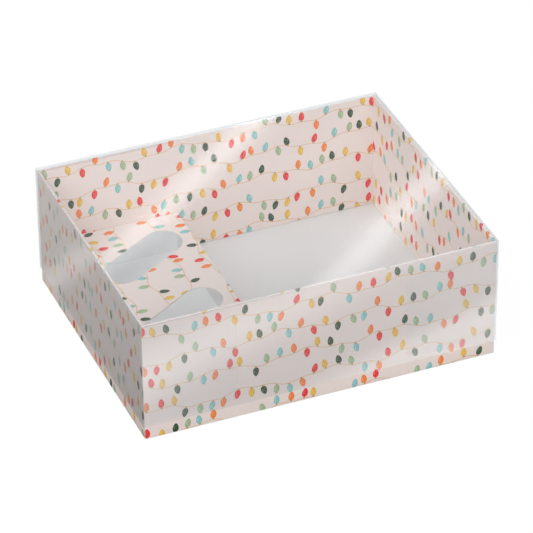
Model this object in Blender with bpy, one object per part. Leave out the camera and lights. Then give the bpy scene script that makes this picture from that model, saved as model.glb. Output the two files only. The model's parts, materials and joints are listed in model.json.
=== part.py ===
"""Clear-lid cupcake box: a printed board tray, a slotted board insert and a telescoping film lid.

Run with: blender --background --python part.py

Metres, +Z up. The origin is the middle of the tray's footprint, on the surface that the box stands
on. X runs along the long side and Y away from the front. Every panel is drawn as a flat sheet by its
printed or outer face, and the board or film gets its thickness behind that face.
"""

import math

import bpy

# Tray board
TRAY_LENGTH = 0.250
TRAY_DEPTH = 0.200
TRAY_HEIGHT = 0.090
BOARD = 0.0004
LAYER_GAP = 0.0003
CORNER_FLAP_LENGTH = 0.060
CORNER_FLAP_TAPER = 0.006
CORNER_FLAP_RADIUS = 0.004
LOCK_TAB_WIDTH = 0.030
LOCK_TAB_SPACING = 0.090
LOCK_TAB_DROP = 0.0006

# Insert board
INSERT_WIDTH = 0.0977
INSERT_BOARD = 0.0004
INSERT_CLEARANCE = 0.0005
DECK_HEIGHT = 0.031
SHORT_LEG_CLEARANCE = 0.0012
SLOT_WIDTH = 0.0278
SLOT_LENGTH = 0.073
SLOT_SLANT = math.radians(32)
SLOT_PITCH = 0.075
SLOT_FROM_RIGHT_EDGE = 0.042
SLOT_FROM_BACK_EDGE = 0.0427
SLOT_COUNT = 2
SLOT_END_STEPS = 14

# Lid film
FILM = 0.00035
LID_END_CLEARANCE = 0.0006
LID_HEM_HEIGHT = 0.0105
CREASE_BEAD_WIDTH = 0.0008
CREASE_BEAD_HEIGHT = 0.0006
CREASE_BEAD_STEPS = 6
LID_TAB_LENGTH = 0.065
LID_TAB_TOP_DROP = 0.015
LID_TAB_FOOT_RISE = 0.004
LID_TAB_RADIUS = 0.003

# Shared by all the cuts and rounded corners
CUT_OVERRUN = 0.002
CORNER_STEPS = 5

# Worked out from the sizes above
SIDES = ("front", "right", "back", "left")
ENDS = ("left", "right")
END_WALL = 3 * BOARD + 2 * LAYER_GAP
LONG_WALL = 2 * BOARD + LAYER_GAP
WALL_TOP = TRAY_HEIGHT - BOARD - LAYER_GAP
LINER_FOOT = BOARD + LAYER_GAP
DECK_TOP = BOARD + DECK_HEIGHT
LEG_TOP = DECK_TOP - INSERT_BOARD - LAYER_GAP
LEG_FOOT = BOARD + LAYER_GAP
INSERT_LEFT = -TRAY_LENGTH / 2 + END_WALL + INSERT_CLEARANCE
INSERT_RIGHT = INSERT_LEFT + INSERT_WIDTH
INSERT_HALF_DEPTH = TRAY_DEPTH / 2 - LONG_WALL - INSERT_CLEARANCE
LID_UNDERSIDE = TRAY_HEIGHT + LAYER_GAP
LID_TOP = LID_UNDERSIDE + FILM
LID_WALL_TOP = LID_UNDERSIDE - LAYER_GAP
LID_HALF_LENGTH = TRAY_LENGTH / 2 + LID_END_CLEARANCE + FILM
LID_HALF_DEPTH = TRAY_DEPTH / 2 + 2 * (LAYER_GAP + FILM)

# Looks: colour, roughness, metallic and alpha
PRINTED = ((0.76, 0.67, 0.64), 0.55, 0.0, 1.0)
PLAIN = ((0.66, 0.66, 0.67), 0.60, 0.0, 1.0)
CLEAR = ((0.90, 0.92, 0.93), 0.06, 0.0, 0.25)


def material_for(name, look):
    """The part's own Principled material."""
    colour, roughness, metallic, alpha = look
    material = bpy.data.materials.new(name)
    material.use_nodes = True
    shader = material.node_tree.nodes["Principled BSDF"]
    shader.inputs["Base Color"].default_value = (*colour, 1.0)
    shader.inputs["Roughness"].default_value = roughness
    shader.inputs["Metallic"].default_value = metallic
    shader.inputs["Alpha"].default_value = alpha
    material.diffuse_color = (*colour, alpha)
    return material


def new_empty(name):
    """An empty that carries the panels of one folded blank."""
    empty = bpy.data.objects.new(name, None)
    bpy.context.collection.objects.link(empty)
    return empty


def new_object(name, points, faces, look, parent):
    """A named object from its points and faces, with its own material."""
    mesh = bpy.data.meshes.new(name)
    mesh.from_pydata(points, [], faces)
    mesh.materials.append(material_for(name, look))
    piece = bpy.data.objects.new(name, mesh)
    piece.parent = parent
    bpy.context.collection.objects.link(piece)
    return piece


def thicken(piece, thickness):
    """Gives a sheet its thickness behind its drawn face."""
    solid = piece.modifiers.new("thickness", "SOLIDIFY")
    solid.thickness = thickness
    solid.offset = -1
    solid.use_even_offset = True


def flat_panel(name, points, thickness, look, parent):
    """A flat sheet cut to one outline."""
    piece = new_object(name, points, [range(len(points))], look, parent)
    thicken(piece, thickness)
    return piece


def turn_to(piece, side):
    """Turns a panel that is drawn at the front round to its own side."""
    piece.rotation_euler = (0, 0, SIDES.index(side) * math.pi / 2)


def by_side(side, at_ends, at_long_sides):
    """The value for the left and right sides, or the one for the front and back."""
    return at_ends if side in ENDS else at_long_sides


def tray_reach(side):
    """From the middle of the tray to the outer face of one wall."""
    return by_side(side, TRAY_LENGTH / 2, TRAY_DEPTH / 2)


def tray_half_width(side):
    """Half of the tray's size along one wall."""
    return by_side(side, TRAY_DEPTH / 2, TRAY_LENGTH / 2)


def wall_thickness(side):
    """A whole wall with its layers: the ends also hold the corner flaps."""
    return by_side(side, END_WALL, LONG_WALL)


def rounded(corners, radius):
    """An outline in two coordinates whose corners marked True are rounded."""
    points = []
    for i, (x, y, is_round) in enumerate(corners):
        if not is_round:
            points.append((x, y))
            continue
        before = corners[i - 1]
        after = corners[(i + 1) % len(corners)]
        points.extend(corner_arc((x, y), before, after, radius))
    return points


def corner_arc(corner, before, after, radius):
    """The points of a fillet between the two edges that meet at a corner."""
    x, y = corner
    into = math.atan2(before[1] - y, before[0] - x)
    out = math.atan2(after[1] - y, after[0] - x)
    opening = (out - into + math.pi) % (2 * math.pi) - math.pi
    half = abs(opening) / 2
    middle = into + opening / 2
    centre_x = x + radius / math.sin(half) * math.cos(middle)
    centre_y = y + radius / math.sin(half) * math.sin(middle)
    sweep = math.copysign(math.pi - abs(opening), -opening)
    start = middle + math.pi - sweep / 2
    arc = []
    for step in range(CORNER_STEPS + 1):
        angle = start + sweep * step / CORNER_STEPS
        arc.append((centre_x + radius * math.cos(angle), centre_y + radius * math.sin(angle)))
    return arc


def lock_tab_edges():
    """Where each lock tab of a liner begins and ends along its wall."""
    half = LOCK_TAB_WIDTH / 2
    middles = (-LOCK_TAB_SPACING / 2, LOCK_TAB_SPACING / 2)
    return [(middle - half, middle + half) for middle in middles]


def base_edge(side):
    """One edge of the tray's floor, left to right, with a notch for each lock tab."""
    edge = tray_reach(side) - BOARD - LAYER_GAP
    half_width = tray_half_width(side) - BOARD - LAYER_GAP
    notch = tray_reach(side) - wall_thickness(side) - LAYER_GAP
    outline = [(-half_width, -edge)]
    for begin, end in lock_tab_edges():
        outline.append((begin - LAYER_GAP, -edge))
        outline.append((begin - LAYER_GAP, -notch))
        outline.append((end + LAYER_GAP, -notch))
        outline.append((end + LAYER_GAP, -edge))
    quarter_turns = SIDES.index(side)
    for _ in range(quarter_turns):
        outline = [(-y, x) for x, y in outline]
    return outline


def make_base(parent):
    """The tray's floor, with its printed face down."""
    outline = [point for side in SIDES for point in base_edge(side)]
    points = [(x, y, 0) for x, y in reversed(outline)]
    flat_panel("tray_base", points, BOARD, PLAIN, parent)


def make_outer_wall(side, parent):
    """One printed wall, standing on the table outside the floor's edge."""
    half_width = by_side(side, TRAY_DEPTH / 2 - BOARD - LAYER_GAP, TRAY_LENGTH / 2)
    y = -tray_reach(side)
    points = [(-half_width, y, 0), (half_width, y, 0), (half_width, y, WALL_TOP), (-half_width, y, WALL_TOP)]
    wall = flat_panel(f"tray_{side}_wall", points, BOARD, PRINTED, parent)
    turn_to(wall, side)


def make_liner(side, parent):
    """The rim rolled over one wall, and the inner wall that hangs from it down to its lock tabs."""
    outer_y = -tray_reach(side)
    inner_y = outer_y + wall_thickness(side)
    rim_half = tray_half_width(side) - LAYER_GAP / 2
    liner_half = tray_half_width(side) - by_side(side, LONG_WALL, END_WALL) - LAYER_GAP / 2
    foot = [(-liner_half, LINER_FOOT)]
    for begin, end in lock_tab_edges():
        foot.append((begin, LINER_FOOT))
        foot.append((begin, LINER_FOOT - LOCK_TAB_DROP))
        foot.append((end, LINER_FOOT - LOCK_TAB_DROP))
        foot.append((end, LINER_FOOT))
    foot.append((liner_half, LINER_FOOT))
    points = [(-liner_half, inner_y, TRAY_HEIGHT), (liner_half, inner_y, TRAY_HEIGHT)]
    points += [(x, inner_y, z) for x, z in reversed(foot)]
    points += [(-rim_half, outer_y, TRAY_HEIGHT), (rim_half, outer_y, TRAY_HEIGHT)]
    first_outer = len(points) - 2
    inner_wall = range(first_outer)
    rim = (first_outer, first_outer + 1, 1, 0)
    liner = new_object(f"tray_{side}_liner", points, [inner_wall, rim], PRINTED, parent)
    thicken(liner, BOARD)
    turn_to(liner, side)


def make_corner_flap(long_side, end, parent):
    """A tapered flap that turns off a long wall's end and is glued inside the double end wall."""
    inward = 1 if (long_side == "front") == (end == "right") else -1
    crease = -inward * (TRAY_DEPTH / 2 - BOARD - LAYER_GAP)
    tip = crease + inward * CORNER_FLAP_LENGTH
    corners = [
        (crease, LINER_FOOT, False),
        (tip, LINER_FOOT + CORNER_FLAP_TAPER, True),
        (tip, WALL_TOP - CORNER_FLAP_TAPER, True),
        (crease, WALL_TOP, False),
    ]
    outline = rounded(corners, CORNER_FLAP_RADIUS)
    if inward < 0:
        outline.reverse()
    y = -tray_reach(end) + BOARD + LAYER_GAP
    points = [(x, y, z) for x, z in outline]
    flap = flat_panel(f"tray_corner_flap_{long_side}_{end}", points, BOARD, PRINTED, parent)
    turn_to(flap, end)


def make_tray():
    """The tray blank: floor, outer walls, liners and corner flaps."""
    tray = new_empty("tray")
    make_base(tray)
    for side in SIDES:
        make_outer_wall(side, tray)
        make_liner(side, tray)
    for long_side in ("front", "back"):
        for end in ENDS:
            make_corner_flap(long_side, end, tray)


def slot_outline():
    """A slot with round ends, centred on zero and turned to its slant."""
    radius = SLOT_WIDTH / 2
    half_straight = SLOT_LENGTH / 2 - radius
    outline = []
    for end in (1, -1):
        for step in range(SLOT_END_STEPS + 1):
            angle = math.pi * (step / SLOT_END_STEPS - 1 / 2)
            x = end * (half_straight + radius * math.cos(angle))
            y = end * radius * math.sin(angle)
            outline.append((x, y))
    cosine = math.cos(SLOT_SLANT)
    sine = math.sin(SLOT_SLANT)
    return [(x * cosine - y * sine, x * sine + y * cosine) for x, y in outline]


def cut_slot(deck, index, parent):
    """Cuts one slot through the deck."""
    middle_x = INSERT_RIGHT - SLOT_FROM_RIGHT_EDGE
    middle_y = INSERT_HALF_DEPTH - SLOT_FROM_BACK_EDGE - index * SLOT_PITCH
    top = DECK_TOP + CUT_OVERRUN
    points = [(middle_x + x, middle_y + y, top) for x, y in slot_outline()]
    cutter = flat_panel(f"slot_cutter_{index}", points, INSERT_BOARD + 2 * CUT_OVERRUN, PLAIN, parent)
    cutter.hide_render = True
    cutter.display_type = "WIRE"
    cut = deck.modifiers.new(f"slot_{index}", "BOOLEAN")
    cut.operation = "DIFFERENCE"
    cut.solver = "EXACT"
    cut.object = cutter


def make_deck(parent):
    """The raised panel, with its printed face up and its slots cut."""
    points = [
        (INSERT_LEFT, -INSERT_HALF_DEPTH, DECK_TOP),
        (INSERT_RIGHT, -INSERT_HALF_DEPTH, DECK_TOP),
        (INSERT_RIGHT, INSERT_HALF_DEPTH, DECK_TOP),
        (INSERT_LEFT, INSERT_HALF_DEPTH, DECK_TOP),
    ]
    deck = flat_panel("insert_deck", points, INSERT_BOARD, PRINTED, parent)
    for index in range(SLOT_COUNT):
        cut_slot(deck, index, parent)


def make_leg(end, parent):
    """A leg that hangs from the deck's edge. Its origin is on the crease that it turns on."""
    outward = 1 if end == "right" else -1
    face_x = INSERT_RIGHT if end == "right" else INSERT_LEFT
    crease_x = INSERT_RIGHT if end == "right" else INSERT_LEFT + INSERT_BOARD
    crease_z = LEG_TOP + LAYER_GAP / 2 if end == "right" else LEG_TOP
    x = face_x - crease_x
    top = LEG_TOP - crease_z
    foot = LEG_FOOT - crease_z
    near = -outward * INSERT_HALF_DEPTH
    points = [(x, near, foot), (x, -near, foot), (x, -near, top), (x, near, top)]
    leg = flat_panel(f"insert_{end}_leg", points, INSERT_BOARD, PRINTED, parent)
    leg.location = (crease_x, 0, crease_z)


def make_short_leg(long_side, parent):
    """A narrower leg at the deck's front or back. It clears the long legs when they fold."""
    outward = 1 if long_side == "back" else -1
    folded_left_leg = INSERT_LEFT + INSERT_BOARD + LEG_TOP - LEG_FOOT
    left = folded_left_leg + SHORT_LEG_CLEARANCE
    right = INSERT_RIGHT - INSERT_BOARD - SHORT_LEG_CLEARANCE
    y = outward * INSERT_BOARD
    foot = LEG_FOOT - LEG_TOP
    points = [(left, y, foot), (right, y, foot), (right, y, 0), (left, y, 0)]
    if long_side == "back":
        points.reverse()
    leg = flat_panel(f"insert_{long_side}_leg", points, INSERT_BOARD, PRINTED, parent)
    leg.location = (0, outward * (INSERT_HALF_DEPTH - INSERT_BOARD), LEG_TOP)


def make_insert():
    """The insert blank: a deck on four legs."""
    insert = new_empty("insert")
    make_deck(insert)
    for end in ENDS:
        make_leg(end, insert)
    for long_side in ("front", "back"):
        make_short_leg(long_side, insert)


def lid_rectangle(inset, z):
    """The lid's outline in plan, drawn in from its edge."""
    x = LID_HALF_LENGTH - inset
    y = LID_HALF_DEPTH - inset
    return [(-x, -y, z), (x, -y, z), (x, y, z), (-x, y, z)]


def make_lid_top(parent):
    """The clear top panel, with the half-round bead that its creases raise along the edges."""
    loops = [lid_rectangle(0, LID_UNDERSIDE)]
    for step in range(CREASE_BEAD_STEPS + 1):
        angle = math.pi * step / CREASE_BEAD_STEPS
        inset = CREASE_BEAD_WIDTH * (1 - math.cos(angle)) / 2
        loops.append(lid_rectangle(inset, LID_TOP + CREASE_BEAD_HEIGHT * math.sin(angle)))
    points = [point for loop in loops for point in loop]
    sides = len(SIDES)
    faces = [tuple(reversed(range(sides)))]
    for low in range(0, len(points) - sides, sides):
        for i in range(sides):
            after = (i + 1) % sides
            faces.append((low + i, low + after, low + sides + after, low + sides + i))
    faces.append(tuple(range(len(points) - sides, len(points))))
    new_object("lid_top", points, faces, CLEAR, parent)


def make_lid_wall(side, parent):
    """One clear wall, hanging from the lid's edge down to the hem."""
    y = -by_side(side, LID_HALF_LENGTH, LID_HALF_DEPTH)
    half_width = by_side(side, LID_HALF_DEPTH - FILM - LAYER_GAP, LID_HALF_LENGTH)
    points = [
        (-half_width, y, LID_HEM_HEIGHT),
        (half_width, y, LID_HEM_HEIGHT),
        (half_width, y, LID_WALL_TOP),
        (-half_width, y, LID_WALL_TOP),
    ]
    wall = flat_panel(f"lid_{side}", points, FILM, CLEAR, parent)
    turn_to(wall, side)


def make_lid_tab(long_side, end, parent):
    """A glue tab that turns off an end wall and lies behind a long wall."""
    inward = 1 if (long_side == "front") == (end == "left") else -1
    crease = -inward * (LID_HALF_LENGTH - FILM - LAYER_GAP)
    tip = crease + inward * LID_TAB_LENGTH
    corners = [
        (crease, LID_HEM_HEIGHT, False),
        (tip, LID_HEM_HEIGHT + LID_TAB_FOOT_RISE, True),
        (tip, LID_WALL_TOP - LID_TAB_TOP_DROP, True),
        (crease, LID_WALL_TOP, False),
    ]
    outline = rounded(corners, LID_TAB_RADIUS)
    if inward < 0:
        outline.reverse()
    y = -LID_HALF_DEPTH + FILM + LAYER_GAP
    points = [(x, y, z) for x, z in outline]
    tab = flat_panel(f"lid_tab_{long_side}_{end}", points, FILM, CLEAR, parent)
    turn_to(tab, long_side)


def make_lid():
    """The lid blank: top, walls and glue tabs."""
    lid = new_empty("lid")
    make_lid_top(lid)
    for side in SIDES:
        make_lid_wall(side, lid)
    for long_side in ("front", "back"):
        for end in ENDS:
            make_lid_tab(long_side, end, lid)


def main():
    for old in list(bpy.data.objects):
        bpy.data.objects.remove(old, do_unlink=True)
    make_tray()
    make_insert()
    make_lid()


main()
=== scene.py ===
"""Looks of the clear-lid cupcake box: folded printed board, clear film lid, soft studio and camera.

Each board or film panel is cut as a flat sheet, folded over its creases, given its thickness and
dressed. The tray's walls and liners, the insert's legs and the lid's ends are made facing the front
and turned round to their side.
"""

import json
import math

import bmesh
import bpy
from mathutils import Matrix, Vector

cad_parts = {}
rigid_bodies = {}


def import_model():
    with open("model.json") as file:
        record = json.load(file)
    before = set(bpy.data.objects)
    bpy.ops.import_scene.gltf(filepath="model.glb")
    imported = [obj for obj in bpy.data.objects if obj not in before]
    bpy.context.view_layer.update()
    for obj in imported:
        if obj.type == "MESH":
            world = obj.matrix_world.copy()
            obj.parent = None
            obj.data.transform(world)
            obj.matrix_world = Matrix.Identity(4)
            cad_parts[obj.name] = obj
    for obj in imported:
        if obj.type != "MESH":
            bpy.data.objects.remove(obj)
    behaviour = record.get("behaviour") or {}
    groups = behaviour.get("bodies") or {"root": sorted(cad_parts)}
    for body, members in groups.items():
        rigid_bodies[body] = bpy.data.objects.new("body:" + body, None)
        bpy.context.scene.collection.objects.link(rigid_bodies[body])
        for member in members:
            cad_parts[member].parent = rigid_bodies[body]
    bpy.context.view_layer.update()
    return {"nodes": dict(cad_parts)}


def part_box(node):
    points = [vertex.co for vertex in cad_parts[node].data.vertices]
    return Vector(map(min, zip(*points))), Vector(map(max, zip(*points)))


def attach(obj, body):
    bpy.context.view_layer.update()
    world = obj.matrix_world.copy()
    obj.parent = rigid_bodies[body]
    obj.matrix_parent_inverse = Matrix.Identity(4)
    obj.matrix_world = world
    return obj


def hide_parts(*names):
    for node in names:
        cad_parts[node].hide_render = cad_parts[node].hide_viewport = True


# The box's sides, and sizes in metres that its pieces share. Within TINY two places are the same,
# and a SEAM is the small gap or lap where pieces meet
SIDES = ("front", "right", "back", "left")
LONG_SIDES = ("front", "back")
TINY = 0.00001
SEAM = 0.00005
FOLD_RADIUS = 0.00045
FOLD_STEPS = 6
SMOOTH_UP_TO = math.radians(40)

# Material slots of a sheet, after its face
REVERSE = 1
CUT_EDGE = 2

# Tray liners
LOCK_TAB_WIDTH = 0.030
LOCK_TAB_SPACING = 0.090
LOCK_TAB_DROP = 0.0006

# Insert
CREASE_RADIUS = 0.00055
SLOT_SLANT = math.radians(32)
SLOT_WIDTH = 0.0278
SLOT_LENGTH = 0.073
SLOT_PITCH = 0.075
SLOT_FROM_RIGHT_EDGE = 0.042
SLOT_FROM_BACK_EDGE = 0.0427
SLOT_COUNT = 2
SLOT_SIDES = 96
CUTTER_IN_BOARDS = 10
SHORT_LEG_REACH = 0.00115
LEG_FOOT_REACH = 0.0002

# Lid film
BEAD_WIDTH = 0.0008
BEAD_HEIGHT = 0.0006
BEAD_STEPS = 8
FILM_FOLD_RADIUS = 0.0004
FILM_FOLD_STEPS = 4

# Print: a string of fairy lights repeated in rows, in millimetres
MILLIMETRES = 1000.0
ROW_PITCH = 19.6
DECK_ROW_PITCH = 22.5
BULB_PITCH = 9.0
BULB_JITTER = 2.6
BULB_TILT = math.radians(34)
BULB_LENGTH = 7.0
BULB_HALF_WIDTH = 2.2
CAP_LENGTH = 1.25
CAP_HALF_WIDTH = 0.62
STRING_HALF_WIDTH = 0.23
EDGE_SOFTNESS = 0.10

# The string's long and short wave: length and height, in millimetres
STRING_WAVES = ((61.0, 2.1), (23.0, 0.85))

# Print: how a row differs from the one below, in bulbs, and the share of bulbs below the string
ROW_SEED = 7.0
ROW_SHIFT = 6.0
COLOURS_LATER = 2.0
HANGING_SHARE = 0.47

# A bulb's outline: where it starts, in cap lengths, and how it swells and draws in to its tip
BULB_START = 0.8
BELLY_POWER = 0.42
TIP_POWER = 0.66
OUTLINE_SCALE = 1.96

# Brush marks on a bulb: how strong, how far along and beside its middle, then half length and width
BRUSH_MARKS = (
    (0.60, 0.46, -0.38, 1.70, 0.34),
    (0.50, 0.26, 0.34, 0.80, 0.30),
    (0.45, 0.62, 0.16, 1.10, 0.26),
)
BRUSH_WHITE = (0.95, 0.90, 0.84)
BRUSH_WHITE_SHARE = 0.3
BRUSH_CORE = 0.35
BULB_SHADE = (0.10, 0.34)

# How far the print moves along from one side of the box to the next, and across the deck, in metres
PRINT_SHIFT = 0.3137
DECK_PRINT_SHIFT = 0.0045

# Colours, in linear light
PAPER = (0.835, 0.728, 0.690)
PLAIN_BACK = (0.742, 0.735, 0.732)
BOARD_CORE = (0.80, 0.77, 0.73)
FLECK = (0.45, 0.43, 0.40)
FILM_VEIL = (0.92, 0.94, 0.95)
STRING_TAN = (0.72, 0.42, 0.16)
CAP_TAN = (0.50, 0.30, 0.11)
BULBS = (
    (0.90, 0.255, 0.045),
    (0.82, 0.028, 0.032),
    (0.83, 0.53, 0.075),
    (0.018, 0.070, 0.020),
    (0.40, 0.52, 0.32),
    (0.29, 0.58, 0.575),
)

# Board: scale, detail and roughness of its fine and its broad tooth, and how high the tooth stands
FINE_TOOTH = (2600.0, 3.0, 0.6)
BROAD_TOOTH = (160.0, 2.0, 0.5)
BROAD_SHARE = 0.5
TOOTH_STRENGTH = 0.35
COATED_TOOTH = 0.00003
RAW_TOOTH = 0.00008

# Board: the part of each noise that is used, and what it changes. A colour drifts to a darker share
FINE_RANGE = (0.35, 0.65)
BROAD_RANGE = (0.30, 0.70)
PAPER_DARKEST = 0.985
PLAIN_DARKEST = 0.97
CORE_DARKEST = 0.86
PRINTED_ROUGHNESS = (0.46, 0.58)
PLAIN_ROUGHNESS = (0.62, 0.75)
CORE_ROUGHNESS = (0.80, 0.92)
PRINTED_SPECULAR = 0.25
PLAIN_SPECULAR = 0.3
PAPER_THROUGH_INK = 0.02
FLECK_RANGE = (0.66, 0.76)
FLECK_STRENGTH = 0.12

# Wear: the normal's largest part on a flat panel and in the middle of a fold, and how pale folds get
FLAT_NORMAL = 0.99
FOLD_NORMAL = 0.75
WEAR_RANGE = (0.25, 0.65)
FOLD_WEAR = (0.08, 0.42)

# The rim's left stretch, darkened by painted shade and kept free of the pale fold wear: its height, its
# end and the painted shade's colour
RIM_FROM = 0.0880
RIM_TO = 0.0888
RIM_SHADE_UNTIL = -0.045
RIM_SHADE_FADED_BY = -0.005
RIM_PAINTED_SHADE = (0.82, 0.82, 0.82)

# Films: name, haze, the share that is mirrored straight on and at a slant, and tint
FILM = ("clear film", 0.02, 0.045, 1.0, (0.954, 0.969, 0.978))
TOP_FILM = ("clear top film", 0.004, 0.002, 1.0, (0.966, 0.985, 0.995))
FILM_EDGE = ("cut film edge", 0.15, 0.045, 0.3, (0.957, 0.959, 0.963))
GLUED_FILM = ("glued clear film", 0.06, 0.003, 0.08, (0.996, 0.998, 0.999))

# All films: how fast the mirror grows, and ripple and scuffs as scale, detail and roughness
GRAZING_POWER = 4.6
RIPPLE = (14.0, 1.0, 0.4)
RIPPLE_STRENGTH = 0.25
RIPPLE_HEIGHT = 0.0002
SCUFFS = (900.0, 4.0, 0.7)
SCUFF_RANGE = (0.35, 0.75)
SCUFFED_ROUGHNESS = (0.06, 0.08)
HAZE_RANGE = (0.30, 0.80)
LEAST_HAZE = 0.6

# Camera
CAMERA_HEADING = math.radians(21.96)
CAMERA_ELEVATION = math.radians(34.12)
CAMERA_ROLL = math.radians(-0.59)
CAMERA_DISTANCE = 2.584
CAMERA_TARGET = Vector((-0.00108, -0.00668, 0.045))
CAMERA_LENS = 259.5
SENSOR_WIDTH = 36.0
CLIP_START = 0.01
CLIP_END = 50

# Softboxes: name, place, width and height in metres, watts, and the boards that they shine through
LIGHT_AIM = (0, 0, 0.04)
UNDER_DECK = ("deck_board", "_leg_board")
LEFT_SIDE = ("left_wall_board", "left_liner_board")
SOFTBOXES = (
    ("front softbox", (0.0, -1.7, 0.8), 1.3, 0.8, 14.0, LEFT_SIDE + UNDER_DECK),
    ("left softbox", (-1.2, -0.5, 1.4), 1.2, 1.2, 7.0, LEFT_SIDE),
    ("left softbox for the slots", (-1.2, -0.5, 1.4), 1.2, 1.2, 7.0, LEFT_SIDE + UNDER_DECK),
    ("overhead softbox", (-0.25, -0.15, 1.9), 1.6, 1.6, 12.0, LEFT_SIDE + UNDER_DECK),
)
LINER_SOFTBOX = ("liner softbox", (-0.6, -0.5, 0.5), 0.6, 0.6, 1.5)
INNER_PIECES = ("_liner_board", "_leg_board")
BACK_SOFTBOX = ("back softbox", (0.9, 1.3, 0.7), 1.2, 1.0, 11.0)
BACK_PIECES = ("back_wall_board", "right_wall_board", "tab_back_left", "tab_back_right")
SKY_LIGHT = 0.20

# Strip lights that only the film mirrors: where each strip shows on the lid, in metres from the
# middle of the box, then its width there and how bright it is
STRIP_DISTANCE = 1.5
STRIPS = (
    ((-0.170, -0.064), (0.080, 0.136), 0.014, 6.8),
    ((-0.010, -0.116), (0.180, 0.036), 0.018, 6.2),
    ((-0.225, -0.020), (-0.020, 0.144), 0.090, 0.57),
)

# Floor: its size, its own grey and how much of it glows
FLOOR_SIZE = 12
FLOOR_DROP = 0.0002
FLOOR_GREY = (0.50, 0.50, 0.50, 1)
FLOOR_ROUGHNESS = 0.9
FLOOR_GLOW_SHARE = 0.88
FLOOR_GLOW = 1.09

# Floor in the film: brighter to the back, in front, at the ends and further off. It is calm behind
# the box, and beside it past a slanted border
MIRRORED_FLOOR = 0.36
MIRRORED_FLOOR_RISE = 2.1
MIRRORED_FLOOR_LEAST = 0.10
MIRRORED_IN_FRONT = 0.25
FRONT_EDGE = -0.103
FURTHER_FROM = -0.125
FURTHER_TO = -0.190
FURTHER_GLOW = 0.50
MIRRORED_FLOOR_COLOUR = (1.0, 0.945, 0.905)
SIDE_EDGE = 0.126
BACK_EDGE = 0.102
BORDER_SLANT = 0.404
BORDER_SHIFT = 0.004
BORDER_FADE = 0.040
CALM_GLOW = 0.30
ENDS_MIDDLE = 0.02
ENDS_FROM = 0.06
ENDS_TO = 0.16
ENDS_GLOW = 0.60

# Its bright patches: start and end of their line, half width and brightness. The last fades along x
FRONT_PATCH = ((-0.0913, -0.1725), (0.0475, -0.2190), 0.040, 2.0)
LEFT_PATCH = ((-0.1735, 0.1227), (-0.1337, 0.0992), 0.022, 0.42)
HEM_PATCH = ((0.0077, -0.1205), (0.1421, -0.1561), 0.012, 2.8)
HEM_FADE_IN = 0.06
HEM_FADE_FROM = 0.155
HEM_FADE_TO = 0.185


def deselect_everything():
    """Leaves nothing selected, so that an operator acts on one piece alone."""
    for thing in bpy.context.selected_objects:
        thing.select_set(False)


def work_on(piece):
    """Makes one piece the only selected and active one."""
    deselect_everything()
    piece.select_set(True)
    bpy.context.view_layer.objects.active = piece


def settle(piece):
    """Puts a piece's place, turn and scale into its mesh."""
    work_on(piece)
    bpy.ops.object.transform_apply(location=True, rotation=True, scale=True)


def add_sheet(name, middle, size, turn):
    """A flat sheet of some size round its middle."""
    deselect_everything()
    bpy.ops.mesh.primitive_plane_add(size=1, location=middle, rotation=turn)
    piece = bpy.context.object
    piece.name = name
    piece.scale = (*size, 1)
    settle(piece)
    return piece


def sheet_standing(name, left, right, foot, top, y):
    """A flat sheet that stands upright and faces the front."""
    middle = ((left + right) / 2, y, (foot + top) / 2)
    return add_sheet(name, middle, (right - left, top - foot), (math.pi / 2, 0, 0))


def sheet_lying(name, left, right, front, back, z):
    """A flat sheet that lies level and faces up."""
    middle = ((left + right) / 2, (front + back) / 2, z)
    return add_sheet(name, middle, (right - left, back - front), (0, 0, 0))


def edit(piece):
    """Opens a piece in edit mode with nothing selected."""
    work_on(piece)
    bpy.ops.object.mode_set(mode="EDIT")
    bpy.ops.mesh.select_mode(type="EDGE")
    bpy.ops.mesh.select_all(action="DESELECT")


def close():
    """Leaves edit mode."""
    bpy.ops.object.mode_set(mode="OBJECT")


def pick_edges(piece, belongs):
    """Selects the edges whose ends both pass a test, and nothing else."""
    bpy.ops.mesh.select_all(action="DESELECT")
    mesh = bmesh.from_edit_mesh(piece.data)
    for edge in mesh.edges:
        if all(belongs(vertex.co) for vertex in edge.verts):
            edge.select_set(True)
    bmesh.update_edit_mesh(piece.data)


def pick_faces(piece, belongs):
    """Selects the faces whose middle passes a test, and nothing else."""
    bpy.ops.mesh.select_mode(type="FACE")
    bpy.ops.mesh.select_all(action="DESELECT")
    mesh = bmesh.from_edit_mesh(piece.data)
    for face in mesh.faces:
        if belongs(face.calc_center_median()):
            face.select_set(True)
    bmesh.update_edit_mesh(piece.data)


def on_plane(axis, place):
    """A test for the points at one place along X, Y or Z, given as 0, 1 or 2."""
    return lambda point: abs(point[axis] - place) < TINY


def fold(piece, belongs, centre, axis, turn, steps=FOLD_STEPS):
    """Bends the sheet on from its picked edge, round a line, by the right-hand rule."""
    pick_edges(piece, belongs)
    bpy.ops.mesh.spin(steps=steps, angle=-turn, center=centre, axis=axis)


def draw_out(offset):
    """Carries the sheet on from the edge or the faces that are still selected."""
    bpy.ops.mesh.extrude_region_move(TRANSFORM_OT_translate={"value": offset})


def cut_line(point, normal):
    """Cuts the open sheet along a plane and keeps both sides."""
    bpy.ops.mesh.select_all(action="SELECT")
    bpy.ops.mesh.bisect(plane_co=point, plane_no=normal)


def cut_away(piece, point, normal):
    """Cuts a closed piece by a plane and drops the side that the normal points to."""
    edit(piece)
    bpy.ops.mesh.select_all(action="SELECT")
    bpy.ops.mesh.bisect(plane_co=point, plane_no=normal, clear_outer=True, use_fill=True)
    close()


def apply_modifier(piece, kind, **settings):
    """Adds a modifier and applies it at once."""
    work_on(piece)
    modifier = piece.modifiers.new(kind.lower(), kind)
    for name, value in settings.items():
        setattr(modifier, name, value)
    bpy.ops.object.modifier_apply(modifier=modifier.name)


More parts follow.
